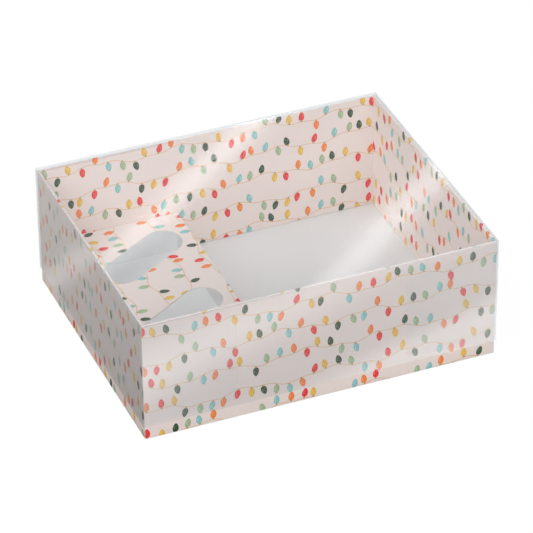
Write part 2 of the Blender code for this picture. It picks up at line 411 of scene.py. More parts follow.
def give_thickness(piece, thickness, materials):
    """Gives a sheet its thickness behind its face: face, reverse and cut edge take a material each."""
    for material in materials:
        piece.data.materials.append(material)
    apply_modifier(
        piece,
        "SOLIDIFY",
        thickness=thickness,
        offset=-1,
        use_even_offset=True,
        material_offset=REVERSE,
        material_offset_rim=CUT_EDGE,
    )


def smooth_folds(piece):
    """Shades the bends smooth and keeps the flat panels flat."""
    work_on(piece)
    bpy.ops.object.shade_smooth_by_angle(angle=SMOOTH_UP_TO)
    apply_modifier(piece, "WEIGHTED_NORMAL", mode="FACE_AREA", keep_sharp=True)


def turn_to_side(piece, side):
    """Turns a piece that was made at the front round to its own side."""
    piece.rotation_euler = (0, 0, SIDES.index(side) * math.pi / 2)
    settle(piece)


def front_box(node, side):
    """The lowest and highest corner of a node, as if its side was turned to the front."""
    back_to_front = Matrix.Rotation(-SIDES.index(side) * math.pi / 2, 3, "Z")
    first, second = (back_to_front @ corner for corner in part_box(node))
    return Vector(map(min, first, second)), Vector(map(max, first, second))


def lay_print(piece, unroll, shift=0.0):
    """Maps the print onto a piece. unroll turns a point into its place on the flat print, in metres."""
    layer = piece.data.uv_layers.new(name="print")
    for loop in piece.data.loops:
        along, across = unroll(piece.data.vertices[loop.vertex_index].co)
        layer.data[loop.index].uv = (along + shift, across)
    for other in list(piece.data.uv_layers):
        if other.name != "print":
            piece.data.uv_layers.remove(other)


def finish_piece(piece, body, node):
    """Says what a piece rides on, and hides the node that it stands for."""
    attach(piece, body)
    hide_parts(node)


def calculate(tree, operation, *values):
    """The result of a Math node on numbers and other nodes' results."""
    node = tree.nodes.new("ShaderNodeMath")
    node.operation = operation
    for socket, value in zip(node.inputs, values):
        feed(tree, socket, value)
    return node.outputs[0]


def plus(tree, first, second):
    """The sum of two values."""
    return calculate(tree, "ADD", first, second)


def minus(tree, first, second):
    """The first value less the second."""
    return calculate(tree, "SUBTRACT", first, second)


def times(tree, first, second):
    """The product of two values."""
    return calculate(tree, "MULTIPLY", first, second)


def feed(tree, socket, value):
    """Links a result to a socket, or sets the socket to a value."""
    if isinstance(value, bpy.types.NodeSocket):
        tree.links.new(value, socket)
    elif socket.type == "RGBA" and len(value) == 3:
        socket.default_value = (*value, 1)
    else:
        socket.default_value = value


def lay_over(tree, share, under, over, way="MIX"):
    """One colour over another, by a share."""
    node = tree.nodes.new("ShaderNodeMix")
    node.data_type = "RGBA"
    node.blend_type = way
    feed(tree, node.inputs["Factor"], share)
    feed(tree, node.inputs[6], under)
    feed(tree, node.inputs[7], over)
    return node.outputs[2]


def spread(tree, value, low, high, out_low=0.0, out_high=1.0):
    """A value carried from one range to another, and held inside it."""
    node = tree.nodes.new("ShaderNodeMapRange")
    for socket, number in zip(node.inputs, (value, low, high, out_low, out_high)):
        feed(tree, socket, number)
    return node.outputs[0]


def soft_spread(tree, value, low, high, out_low=0.0, out_high=1.0):
    """The same with a smooth start and end."""
    result = spread(tree, value, low, high, out_low, out_high)
    result.node.interpolation_type = "SMOOTHSTEP"
    return result


def split(tree, vector):
    """The three parts of a vector."""
    node = tree.nodes.new("ShaderNodeSeparateXYZ")
    tree.links.new(vector, node.inputs[0])
    return node.outputs


def bumped(tree, height, strength, distance):
    """The surface's normal, bumped by a height."""
    node = tree.nodes.new("ShaderNodeBump")
    node.inputs["Strength"].default_value = strength
    node.inputs["Distance"].default_value = distance
    tree.links.new(height, node.inputs["Height"])
    return node.outputs[0]


def mix_shaders(tree, share, first, second):
    """Two shaders in one, by the second one's share."""
    node = tree.nodes.new("ShaderNodeMixShader")
    for socket, result in zip(node.inputs, (share, first, second)):
        tree.links.new(result, socket)
    return node.outputs[0]


def random_numbers(tree, first, second):
    """Three random numbers from 0 to 1 that belong to a pair of whole numbers."""
    pair = tree.nodes.new("ShaderNodeCombineXYZ")
    feed(tree, pair.inputs[0], first)
    feed(tree, pair.inputs[1], second)
    noise = tree.nodes.new("ShaderNodeTexWhiteNoise")
    noise.noise_dimensions = "2D"
    tree.links.new(pair.outputs[0], noise.inputs["Vector"])
    parts = tree.nodes.new("ShaderNodeSeparateColor")
    tree.links.new(noise.outputs["Color"], parts.inputs[0])
    return parts.outputs


def cloud(tree, surface, settings):
    """Soft noise over the surface, by its scale, detail and roughness."""
    noise = tree.nodes.new("ShaderNodeTexNoise")
    for name, value in zip(("Scale", "Detail", "Roughness"), settings):
        noise.inputs[name].default_value = value
    tree.links.new(surface, noise.inputs["Vector"])
    return noise.outputs["Fac"]


def string_height(tree, along, phases):
    """How far the string rises over its row: a long wave and a short one."""
    rises = []
    for (length, height), phase in zip(STRING_WAVES, phases):
        start = times(tree, phase, math.tau)
        turn = calculate(tree, "MULTIPLY_ADD", along, math.tau / length, start)
        rises.append(times(tree, calculate(tree, "SINE", turn), height))
    return plus(tree, *rises)


def inside(tree, distance):
    """1 where a distance to an edge is negative, and 0 where it is positive, with a soft edge."""
    return spread(tree, distance, -EDGE_SOFTNESS, EDGE_SOFTNESS, 1.0, 0.0)


def oval(tree, p, q, centre_p, centre_q, half_p, half_q):
    """1 inside an oval, for the brush marks on a bulb."""
    dp = calculate(tree, "DIVIDE", minus(tree, p, centre_p), half_p)
    dq = calculate(tree, "DIVIDE", minus(tree, q, centre_q), half_q)
    square = calculate(tree, "MULTIPLY_ADD", dp, dp, times(tree, dq, dq))
    return spread(tree, square, BRUSH_CORE, 1.0, 1.0, 0.0)


def new_light_group():
    """An empty node group for one string of lights, with its inputs and its output."""
    tree = bpy.data.node_groups.new("string of lights", "ShaderNodeTree")
    for name, kind in (("Under", "Color"), ("Along", "Float"), ("Across", "Float"), ("Row", "Float")):
        tree.interface.new_socket(name, in_out="INPUT", socket_type=f"NodeSocket{kind}")
    tree.interface.new_socket("Colour", in_out="OUTPUT", socket_type="NodeSocketColor")
    return tree


def from_bulb_root(tree, dx, dy, bulb_numbers):
    """How far a point lies out from a bulb's root and aside. A bulb stands or hangs, tilted."""
    side = calculate(tree, "SIGN", minus(tree, bulb_numbers[2], HANGING_SHARE))
    tilt = times(tree, minus(tree, bulb_numbers[1], 0.5), BULB_TILT)
    sine = calculate(tree, "SINE", tilt)
    cosine = calculate(tree, "COSINE", tilt)
    outwards = calculate(tree, "MULTIPLY_ADD", dx, sine, times(tree, dy, cosine))
    p = times(tree, outwards, side)
    q = minus(tree, times(tree, dx, cosine), times(tree, dy, sine))
    return p, q


def bulb_outline(tree, p, half_q):
    """1 inside a bulb, which swells at once and is drawn in to a tip."""
    start = CAP_LENGTH * BULB_START
    share = spread(tree, p, start, start + BULB_LENGTH)
    belly = calculate(tree, "POWER", share, BELLY_POWER)
    tip = calculate(tree, "POWER", minus(tree, 1.0, share), TIP_POWER)
    width = times(tree, times(tree, belly, tip), BULB_HALF_WIDTH * OUTLINE_SCALE)
    body = inside(tree, minus(tree, half_q, width))
    past_start = calculate(tree, "GREATER_THAN", share, 0.0)
    before_tip = calculate(tree, "LESS_THAN", share, 1.0)
    return times(tree, body, times(tree, past_start, before_tip))


def cap_outline(tree, p, half_q):
    """1 inside the small cap that a bulb sits in."""
    half_length = CAP_LENGTH / 2
    past_end = minus(tree, calculate(tree, "ABSOLUTE", minus(tree, p, half_length)), half_length)
    past_side = minus(tree, half_q, CAP_HALF_WIDTH)
    return inside(tree, calculate(tree, "MAXIMUM", past_end, past_side))


def pick_colour(tree, cell, row):
    """The colour whose turn it is along the row."""
    count = len(BULBS)
    first = times(tree, row, COLOURS_LATER)
    index = calculate(tree, "FLOORED_MODULO", plus(tree, cell, first), count)
    palette = tree.nodes.new("ShaderNodeValToRGB")
    palette.color_ramp.interpolation = "CONSTANT"
    stops = palette.color_ramp.elements
    while len(stops) < count:
        stops.new(1.0)
    for i, bulb in enumerate(BULBS):
        stops[i].position = i / count
        stops[i].color = (*bulb, 1)
    place = calculate(tree, "DIVIDE", plus(tree, index, 0.5), count)
    tree.links.new(place, palette.inputs[0])
    return palette.outputs[0]


def brushed(tree, plain, p, q):
    """A bulb's colour, darker to one side and with pale brush marks."""
    shade = spread(tree, q, -BULB_HALF_WIDTH, BULB_HALF_WIDTH, *BULB_SHADE)
    shaded = lay_over(tree, shade, plain, plain, "MULTIPLY")
    colour = shaded
    for strength, along, beside, half_length, half_width in BRUSH_MARKS:
        middle_p = CAP_LENGTH + along * BULB_LENGTH
        mark = oval(tree, p, q, middle_p, beside * BULB_HALF_WIDTH, half_length, half_width)
        paler = lay_over(tree, times(tree, mark, strength), colour, shaded, "SCREEN")
        white = times(tree, mark, BRUSH_WHITE_SHARE * strength)
        colour = lay_over(tree, white, paler, BRUSH_WHITE)
    return colour


def make_light_row():
    """A node group that paints one string of lights over a colour, near one row."""
    tree = new_light_group()
    entry = tree.nodes.new("NodeGroupInput")
    under, along, across, row = entry.outputs[:4]

    row_numbers = random_numbers(tree, row, ROW_SEED)
    shift = times(tree, row_numbers[2], ROW_SHIFT)
    cell = calculate(tree, "FLOOR", calculate(tree, "MULTIPLY_ADD", along, 1 / BULB_PITCH, shift))
    bulb_numbers = random_numbers(tree, cell, row)
    jitter = times(tree, minus(tree, bulb_numbers[0], 0.5), BULB_JITTER)
    cell_middle = times(tree, minus(tree, plus(tree, cell, 0.5), shift), BULB_PITCH)
    root_along = plus(tree, cell_middle, jitter)
    string_here = string_height(tree, along, row_numbers)
    string_at_root = string_height(tree, root_along, row_numbers)

    from_string = calculate(tree, "ABSOLUTE", minus(tree, across, string_here))
    string = inside(tree, minus(tree, from_string, STRING_HALF_WIDTH))
    colour = lay_over(tree, string, under, STRING_TAN)

    dx = minus(tree, along, root_along)
    dy = minus(tree, across, string_at_root)
    p, q = from_bulb_root(tree, dx, dy, bulb_numbers)
    half_q = calculate(tree, "ABSOLUTE", q)
    bulb = brushed(tree, pick_colour(tree, cell, row), p, q)
    colour = lay_over(tree, bulb_outline(tree, p, half_q), colour, bulb)
    colour = lay_over(tree, cap_outline(tree, p, half_q), colour, CAP_TAN)

    leave = tree.nodes.new("NodeGroupOutput")
    tree.links.new(colour, leave.inputs[0])
    return tree


def paint_lights(tree, ground, light_row, row_pitch, turned):
    """The rows of lights on either side of a point, over the ground colour."""
    place = tree.nodes.new("ShaderNodeUVMap")
    place.uv_map = "print"
    parts = split(tree, place.outputs[0])
    along_part, across_part = (1, 0) if turned else (0, 1)
    along = times(tree, parts[along_part], MILLIMETRES)
    across = times(tree, parts[across_part], MILLIMETRES)
    row_below = calculate(tree, "FLOOR", calculate(tree, "DIVIDE", across, row_pitch))
    colour = ground
    for step in (0.0, 1.0):
        row = plus(tree, row_below, step)
        group = tree.nodes.new("ShaderNodeGroup")
        group.node_tree = light_row
        from_row = calculate(tree, "MULTIPLY_ADD", row, -row_pitch, across)
        for socket, value in zip(group.inputs, (colour, along, from_row, row)):
            tree.links.new(value, socket)
        colour = group.outputs[0]
    return colour


def new_material(name):
    """A material with a Principled shader, its node tree and its object coordinates."""
    material = bpy.data.materials.new(name)
    material.use_nodes = True
    tree = material.node_tree
    shader = tree.nodes["Principled BSDF"]
    coordinates = tree.nodes.new("ShaderNodeTexCoord")
    return material, tree, shader, coordinates


def corner_wear(tree, coordinates):
    """0 on a flat panel and 1 in the middle of a fold, read from the surface's own normal."""
    normal = split(tree, coordinates.outputs["Normal"])
    x, y, z = (calculate(tree, "ABSOLUTE", part) for part in normal)
    largest = calculate(tree, "MAXIMUM", calculate(tree, "MAXIMUM", x, y), z)
    return spread(tree, largest, FLAT_NORMAL, FOLD_NORMAL)


def painted_rim_shade(tree, coordinates):
    """1 on the left stretch of the tray's rim, where painted shade darkens it and the pale fold wear is
    left off.
    """
    x, _, z = split(tree, coordinates.outputs["Object"])
    at_rim = spread(tree, z, RIM_FROM, RIM_TO)
    at_left = soft_spread(tree, x, RIM_SHADE_UNTIL, RIM_SHADE_FADED_BY, 1.0, 0.0)
    return times(tree, at_rim, at_left)


def add_fibres(tree, shader, coordinates, height):
    """The faint tooth of paper board, as bump. It gives back the fine and the broad noise."""
    surface = coordinates.outputs["Object"]
    fine = cloud(tree, surface, FINE_TOOTH)
    broad = cloud(tree, surface, BROAD_TOOTH)
    tooth = calculate(tree, "MULTIPLY_ADD", broad, BROAD_SHARE, fine)
    tree.links.new(bumped(tree, tooth, TOOTH_STRENGTH, height), shader.inputs["Normal"])
    return fine, broad


def drifting(tree, share, colour, darkest):
    """A colour that drifts between a darker share of itself and itself."""
    return lay_over(tree, share, tuple(darkest * part for part in colour), colour)


def finish_board(tree, shader, colour, broad, roughness):
    """Gives a board its colour and its uneven gloss."""
    tree.links.new(colour, shader.inputs["Base Color"])
    tree.links.new(spread(tree, broad, *BROAD_RANGE, *roughness), shader.inputs["Roughness"])


def make_printed_board(name, light_row, row_pitch, turned):
    """Coated board printed with strings of fairy lights, a little worn at its folds, with painted shade
    on the rim's left stretch.
    """
    material, tree, shader, coordinates = new_material(name)
    fine, broad = add_fibres(tree, shader, coordinates, COATED_TOOTH)
    ground = drifting(tree, spread(tree, broad, *BROAD_RANGE), PAPER, PAPER_DARKEST)
    colour = paint_lights(tree, ground, light_row, row_pitch, turned)
    bare = spread(tree, fine, *FINE_RANGE, 0.0, PAPER_THROUGH_INK)
    colour = lay_over(tree, bare, colour, PAPER)
    worn = times(tree, corner_wear(tree, coordinates), spread(tree, broad, *WEAR_RANGE, *FOLD_WEAR))
    # Painted shade: the rim's left stretch is multiplied darker, and its fold wear is left off there
    rim_shade_share = painted_rim_shade(tree, coordinates)
    worn = times(tree, worn, minus(tree, 1.0, rim_shade_share))
    colour = lay_over(tree, worn, colour, BOARD_CORE)
    colour = lay_over(tree, rim_shade_share, colour, RIM_PAINTED_SHADE, "MULTIPLY")
    finish_board(tree, shader, colour, broad, PRINTED_ROUGHNESS)
    shader.inputs["Specular IOR Level"].default_value = PRINTED_SPECULAR
    return material


def make_plain_board():
    """The board's unprinted grey-white reverse, with a few flecks."""
    material, tree, shader, coordinates = new_material("plain board")
    fine, broad = add_fibres(tree, shader, coordinates, COATED_TOOTH)
    colour = drifting(tree, spread(tree, broad, *BROAD_RANGE), PLAIN_BACK, PLAIN_DARKEST)
    fleck = spread(tree, fine, *FLECK_RANGE, 0.0, FLECK_STRENGTH)
    colour = lay_over(tree, fleck, colour, FLECK)
    finish_board(tree, shader, colour, broad, PLAIN_ROUGHNESS)
    shader.inputs["Specular IOR Level"].default_value = PLAIN_SPECULAR
    return material


def make_cut_board():
    """The raw core that shows where board is cut."""
    material, tree, shader, coordinates = new_material("cut board edge")
    fine, broad = add_fibres(tree, shader, coordinates, RAW_TOOTH)
    colour = drifting(tree, spread(tree, fine, *FINE_RANGE), BOARD_CORE, CORE_DARKEST)
    finish_board(tree, shader, colour, broad, CORE_ROUGHNESS)
    return material


def make_film(name, haze, mirror_straight_on, mirror_at_a_slant, tint):
    """Clear film: it lets light through, mirrors more at a flat angle, and is faintly hazy."""
    material, tree, shader, coordinates = new_material(name)
    tree.nodes.remove(shader)
    surface = coordinates.outputs["Object"]
    facing = tree.nodes.new("ShaderNodeLayerWeight")
    facing.inputs["Blend"].default_value = 0.5
    grazing = calculate(tree, "POWER", facing.outputs["Facing"], GRAZING_POWER)
    mirror_share = spread(tree, grazing, 0.0, 1.0, mirror_straight_on, mirror_at_a_slant)
    ripple = bumped(tree, cloud(tree, surface, RIPPLE), RIPPLE_STRENGTH, RIPPLE_HEIGHT)
    mirror = tree.nodes.new("ShaderNodeBsdfGlossy")
    mirror.distribution = "GGX"
    scuffs = cloud(tree, surface, SCUFFS)
    tree.links.new(spread(tree, scuffs, *SCUFF_RANGE, *SCUFFED_ROUGHNESS), mirror.inputs["Roughness"])
    tree.links.new(ripple, mirror.inputs["Normal"])
    clear = tree.nodes.new("ShaderNodeBsdfTransparent")
    clear.inputs["Color"].default_value = (*tint, 1)
    veil = tree.nodes.new("ShaderNodeBsdfDiffuse")
    veil.inputs["Color"].default_value = (*FILM_VEIL, 1)
    haze_share = spread(tree, scuffs, *HAZE_RANGE, haze * LEAST_HAZE, haze)
    hazy = mix_shaders(tree, haze_share, clear.outputs[0], veil.outputs[0])
    skin = mix_shaders(tree, mirror_share, hazy, mirror.outputs[0])
    tree.links.new(skin, tree.nodes["Material Output"].inputs["Surface"])
    return material


def dress_tray_wall(side, materials):
    """An outer wall: it folds under at the table, and a long one also wraps round its corners."""
    node = f"tray_{side}_wall"
    low, high = front_box(node, side)
    is_long = side in LONG_SIDES
    r = FOLD_RADIUS
    end = high.x - r if is_long else high.x
    wall = sheet_standing(f"{side}_wall_board", -end, end, r, high.z, low.y)
    edit(wall)
    fold(wall, on_plane(2, r), (0, low.y + r, r), (1, 0, 0), math.pi / 2)
    if is_long:
        for way in (-1, 1):
            corner = (way * end, low.y + r, 0)
            fold(wall, on_plane(0, way * end), corner, (0, 0, 1), way * math.pi / 2)
    close()
    give_thickness(wall, high.y - low.y, materials)
    smooth_folds(wall)

    def unroll(point):
        depth = point.y - low.y
        if point.z < r:
            return point.x, point.z - depth
        if abs(point.x) > end:
            return point.x + math.copysign(depth, point.x), point.z
        return point.x, point.z

    lay_print(wall, unroll, SIDES.index(side) * PRINT_SHIFT)
    turn_to_side(wall, side)
    finish_piece(wall, "tray", node)


def make_liner(side, materials):
    """The rim rolled over a wall, the inner wall under it and its lock tabs."""
    low, high = front_box(f"tray_{side}_liner", side)
    wall_low, wall_high = front_box(f"tray_{side}_wall", side)
    r = FOLD_RADIUS
    half = wall_high.x if side in LONG_SIDES else high.x
    board = wall_high.y - wall_low.y
    foot = low.z + LOCK_TAB_DROP
    liner = sheet_lying(f"{side}_liner_board", -half + r, half - r, low.y + r, high.y - r, high.z)
    edit(liner)
    fold(liner, on_plane(1, low.y + r), (0, low.y + r, high.z - r), (1, 0, 0), math.pi / 2)
    draw_out((0, 0, wall_high.z - (high.z - r)))
    fold(liner, on_plane(1, high.y - r), (0, high.y - r, high.z - r), (1, 0, 0), -math.pi / 2)
    draw_out((0, 0, foot - (high.z - r)))
    for middle in (-LOCK_TAB_SPACING / 2, LOCK_TAB_SPACING / 2):
        begin = middle - LOCK_TAB_WIDTH / 2
        end = middle + LOCK_TAB_WIDTH / 2
        cut_line((begin, 0, 0), (1, 0, 0))
        cut_line((end, 0, 0), (1, 0, 0))
        pick_edges(liner, lambda point: (
            abs(point.z - foot) < TINY
            and begin - TINY < point.x < end + TINY
        ))
        draw_out((0, 0, -LOCK_TAB_DROP))
    close()
    give_thickness(liner, board, materials)
    return liner, low, high, half


def mitre_ends(liner, half, low, inner_half, inner_y):
    """Cuts a liner's ends back to the line from the box's outer corner to its inner corner."""
    r = FOLD_RADIUS
    for way in (-1, 1):
        corner = Vector((way * (half - r), low.y + r, 0))
        inner = Vector((way * inner_half, inner_y, 0))
        along = (inner - corner).normalized()
        outward = Vector((along.y, -along.x, 0))
        if outward.x * way < 0:
            outward.negate()
        cut_away(liner, inner - outward * SEAM, outward)


def dress_liner(side, inner_corner, materials):
    """One liner in its place."""
    liner, low, high, half = make_liner(side, materials)
    inner_half = inner_corner[0] if side in LONG_SIDES else inner_corner[1]
    mitre_ends(liner, half, low, inner_half, high.y)
    smooth_folds(liner)

    def unroll(point):
        depth = point.y - low.y
        if depth < (high.y - low.y) / 2:
            return point.x, point.z + depth
        return point.x, 2 * high.z - point.z + depth

    lay_print(liner, unroll, SIDES.index(side) * PRINT_SHIFT)
    turn_to_side(liner, side)
    finish_piece(liner, "tray", f"tray_{side}_liner")


def make_slot_cutter(middle_x, middle_y, z, height):
    """A slot's shape as a solid: a cylinder whose halves are drawn apart, turned to its slant."""
    deselect_everything()
    bpy.ops.mesh.primitive_cylinder_add(
        vertices=SLOT_SIDES, radius=SLOT_WIDTH / 2, depth=height, rotation=(0, 0, math.pi / SLOT_SIDES)
    )
    cutter = bpy.context.object
    settle(cutter)
    half_straight = (SLOT_LENGTH - SLOT_WIDTH) / 2
    for way in (-1, 1):
        edit(cutter)
        bpy.ops.mesh.select_mode(type="VERT")
        mesh = bmesh.from_edit_mesh(cutter.data)
        for vertex in mesh.verts:
            vertex.select_set(vertex.co.x * way > 0)
        bmesh.update_edit_mesh(cutter.data)
        bpy.ops.transform.translate(value=(way * half_straight, 0, 0))
        close()
    cutter.rotation_euler = (0, 0, SLOT_SLANT)
    cutter.location = (middle_x, middle_y, z)
    settle(cutter)
    return cutter


def cut_slots(deck, low, high):
    """Cuts both slanted slots through the deck."""
    middle_x = high.x - SLOT_FROM_RIGHT_EDGE
    height = CUTTER_IN_BOARDS * (high.z - low.z)
    for index in range(SLOT_COUNT):
        middle_y = high.y - SLOT_FROM_BACK_EDGE - index * SLOT_PITCH
        cutter = make_slot_cutter(middle_x, middle_y, high.z, height)
        for material in deck.data.materials:
            cutter.data.materials.append(material)
        for face in cutter.data.polygons:
            face.material_index = CUT_EDGE
        apply_modifier(deck, "BOOLEAN", operation="DIFFERENCE", solver="EXACT", object=cutter)
        bpy.data.objects.remove(cutter, do_unlink=True)


def short_leg_span():
    """Where the short legs begin and end along the deck's front and back edges."""
    low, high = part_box("insert_front_leg")
    return low.x, high.x + SHORT_LEG_REACH


def make_deck_sheet(low, high):
    """The deck's flat sheet, cut back at the front and back where a short leg folds down."""
    r = CREASE_RADIUS
    deck = sheet_lying("deck_board", low.x + r, high.x - r, low.y, high.y, high.z)
    leg_left, leg_right = short_leg_span()
    edit(deck)
    for x in (leg_left, leg_right):
        cut_line((x, 0, 0), (1, 0, 0))
    for y in (low.y + r, high.y - r):
        cut_line((0, y, 0), (0, 1, 0))
    pick_faces(deck, lambda point: (
        leg_left < point.x < leg_right
        and abs(point.y - (low.y + high.y) / 2) > (high.y - low.y) / 2 - r
    ))
    bpy.ops.mesh.delete(type="FACE")
    bpy.ops.mesh.select_mode(type="EDGE")
    for way, edge in ((-1, low.x + r), (1, high.x - r)):
        fold(deck, on_plane(0, edge), (edge, 0, high.z - r), (0, 1, 0), way * math.pi / 2)
    for way, edge in ((1, low.y + r), (-1, high.y - r)):
        def on_crease(point, edge=edge):
            between_cuts = leg_left - TINY < point.x < leg_right + TINY
            return between_cuts and abs(point.y - edge) < TINY

        fold(deck, on_crease, (0, edge, high.z - r), (1, 0, 0), way * math.pi / 2)
    close()
    return deck


def dress_deck(materials):
    """The raised panel with its slots. Its edges begin to bend down into the legs."""
    low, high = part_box("insert_deck")
    deck = make_deck_sheet(low, high)
    give_thickness(deck, high.z - low.z, materials)
    cut_slots(deck, low, high)
    smooth_folds(deck)
    lay_print(deck, lambda point: (point.x, point.y), DECK_PRINT_SHIFT)
    finish_piece(deck, "insert", "insert_deck")


def dress_leg(side, materials):
    """A leg of the insert, printed outside and plain inside."""
    node = f"insert_{side}_leg"
    low, high = front_box(node, side)
    deck_low, deck_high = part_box("insert_deck")
    top = deck_high.z - CREASE_RADIUS - SEAM
    begin, end = low.x, high.x
    if side == "front":
        begin, end = short_leg_span()
    if side == "back":
        end, begin = (-x for x in short_leg_span())
    leg = sheet_standing(f"{side}_leg_board", begin, end, low.z - LEG_FOOT_REACH, top, low.y)
    give_thickness(leg, high.y - low.y, materials)
    smooth_folds(leg)
    turn_to_side(leg, side)
    axis = 1 if side in LONG_SIDES else 0
    edge = deck_high[axis] if side in ("right", "back") else deck_low[axis]
    way = 1 if side in ("right", "back") else -1

    def unroll(point):
        place = [point.x, point.y]
        place[axis] = edge + way * (deck_high.z - point.z)
        return place

    lay_print(leg, unroll, DECK_PRINT_SHIFT)
    finish_piece(leg, f"{side}_leg", node)


def dress_lid_top(materials):
    """The lid's top: a clear panel with a half-round bead along its creases and a short skirt."""
    low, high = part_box("lid_top")
    wall_low, wall_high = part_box("lid_front")
    thickness = wall_high.y - wall_low.y
    face_z = low.z + thickness
    lid = sheet_lying("lid_top_film", low.x, high.x, low.y, high.y, face_z)
    give_thickness(lid, thickness, materials)
    edit(lid)
    pick_faces(lid, lambda point: point.z > face_z - TINY)
    for step in range(BEAD_STEPS):
        before = math.pi * step / BEAD_STEPS
        after = math.pi * (step + 1) / BEAD_STEPS
        inset = BEAD_WIDTH * (math.cos(before) - math.cos(after)) / 2
        rise = BEAD_HEIGHT * (math.sin(after) - math.sin(before))
        bpy.ops.mesh.inset(thickness=inset, depth=rise)
    pick_faces(lid, lambda point: point.z < low.z + TINY)
    bpy.ops.mesh.inset(thickness=thickness)
    pick_faces(lid, lambda point: point.z < low.z + TINY and (
        abs(point.x) > high.x - thickness or abs(point.y) > high.y - thickness
    ))
    draw_out((0, 0, wall_high.z - low.z))
    close()
    for face in lid.data.polygons:
        from_edge = min(high.x - abs(face.center.x), high.y - abs(face.center.y))
        if from_edge < BEAD_WIDTH:
            face.material_index = CUT_EDGE
    smooth_folds(lid)
    finish_piece(lid, "lid", "lid_top")


def dress_lid_end(side, materials):
    """An end of the lid: its upright edges turn in behind the long walls to meet the glue tabs."""
    node = f"lid_{side}"
    low, high = front_box(node, side)
    r = FILM_FOLD_RADIUS
    end = high.x - r
    wall = sheet_standing(f"lid_{side}_film", -end, end, low.z, high.z, low.y)
    edit(wall)
    for way in (-1, 1):
        crease = (way * end, low.y + r, 0)
        turn = way * math.pi / 2
        fold(wall, on_plane(0, way * end), crease, (0, 0, 1), turn, FILM_FOLD_STEPS)
        draw_out((0, high.y - low.y - r + SEAM, 0))
    close()
    give_thickness(wall, high.y - low.y, materials)
    smooth_folds(wall)
    turn_to_side(wall, side)
    finish_piece(wall, "lid", node)


def dress_kept_nodes(frame, looks):
    """Finishes the nodes whose shape is already right."""
    for name, material in looks.items():
        piece = frame["nodes"][name]
        for slot in piece.material_slots:
            slot.link = "OBJECT"
            slot.material = material


def camera_axes():
    """The camera's right, up and forward directions."""
    forward = Vector((
        math.sin(CAMERA_HEADING) * math.cos(CAMERA_ELEVATION),
        math.cos(CAMERA_HEADING) * math.cos(CAMERA_ELEVATION),
        -math.sin(CAMERA_ELEVATION),
    ))
    level_right = Vector((math.cos(CAMERA_HEADING), -math.sin(CAMERA_HEADING), 0))
    roll = Matrix.Rotation(-CAMERA_ROLL, 3, forward)
    right = roll @ level_right
    up = right.cross(forward)
    return right, up, forward


def make_camera():
    """The camera at the photograph's viewing angle."""
    right, up, forward = camera_axes()
    data = bpy.data.cameras.new("camera")
    data.lens = CAMERA_LENS
    data.sensor_width = SENSOR_WIDTH
    data.sensor_fit = "HORIZONTAL"
    data.clip_start = CLIP_START
    data.clip_end = CLIP_END
    camera = bpy.data.objects.new("camera", data)
    bpy.context.scene.collection.objects.link(camera)
    turn = Matrix((right, up, -forward)).transposed().to_4x4()
    camera.matrix_world = Matrix.Translation(CAMERA_TARGET - forward * CAMERA_DISTANCE) @ turn
    bpy.context.scene.camera = camera


def seen_or_mirrored(tree):
    """1 for the rays that a person would see a background by, and 0 for the ones that light things."""
    path = tree.nodes.new("ShaderNodeLightPath")
    seen = path.outputs["Is Camera Ray"]
    for other in ("Is Glossy Ray", "Is Transmission Ray"):
        seen = calculate(tree, "MAXIMUM", seen, path.outputs[other])
    return seen


def distance_from_line(tree, x, y, start, end):
    """How far a point of the floor is to the left of a line."""
    along = (Vector(end) - Vector(start)).normalized()
    aside = Vector((-along.y, along.x))
    offset = calculate(tree, "MULTIPLY_ADD", x, aside.x, times(tree, y, aside.y))
    return minus(tree, offset, aside.dot(Vector(start)))


def soft_patch(tree, x, y, start, end, half_width, brightness):
    """A bright band with soft sides along a line on the floor."""
    distance = calculate(tree, "ABSOLUTE", distance_from_line(tree, x, y, start, end))
    return soft_spread(tree, distance, 0.0, half_width, brightness, 0.0)


def soft_edge(tree, x, y, start, end, half_width, brightness):
    """Brightness to the left of a line on the floor, with a soft edge, from its start to its end."""
    distance = distance_from_line(tree, x, y, start, end)
    fade_in = soft_spread(tree, x, start[0] - HEM_FADE_IN, start[0] + HEM_FADE_IN, 0.0, brightness)
    fade_out = soft_spread(tree, x, HEM_FADE_FROM, HEM_FADE_TO, 1.0, 0.0)
    edge = soft_spread(tree, distance, -half_width, half_width)
    return times(tree, edge, times(tree, fade_in, fade_out))


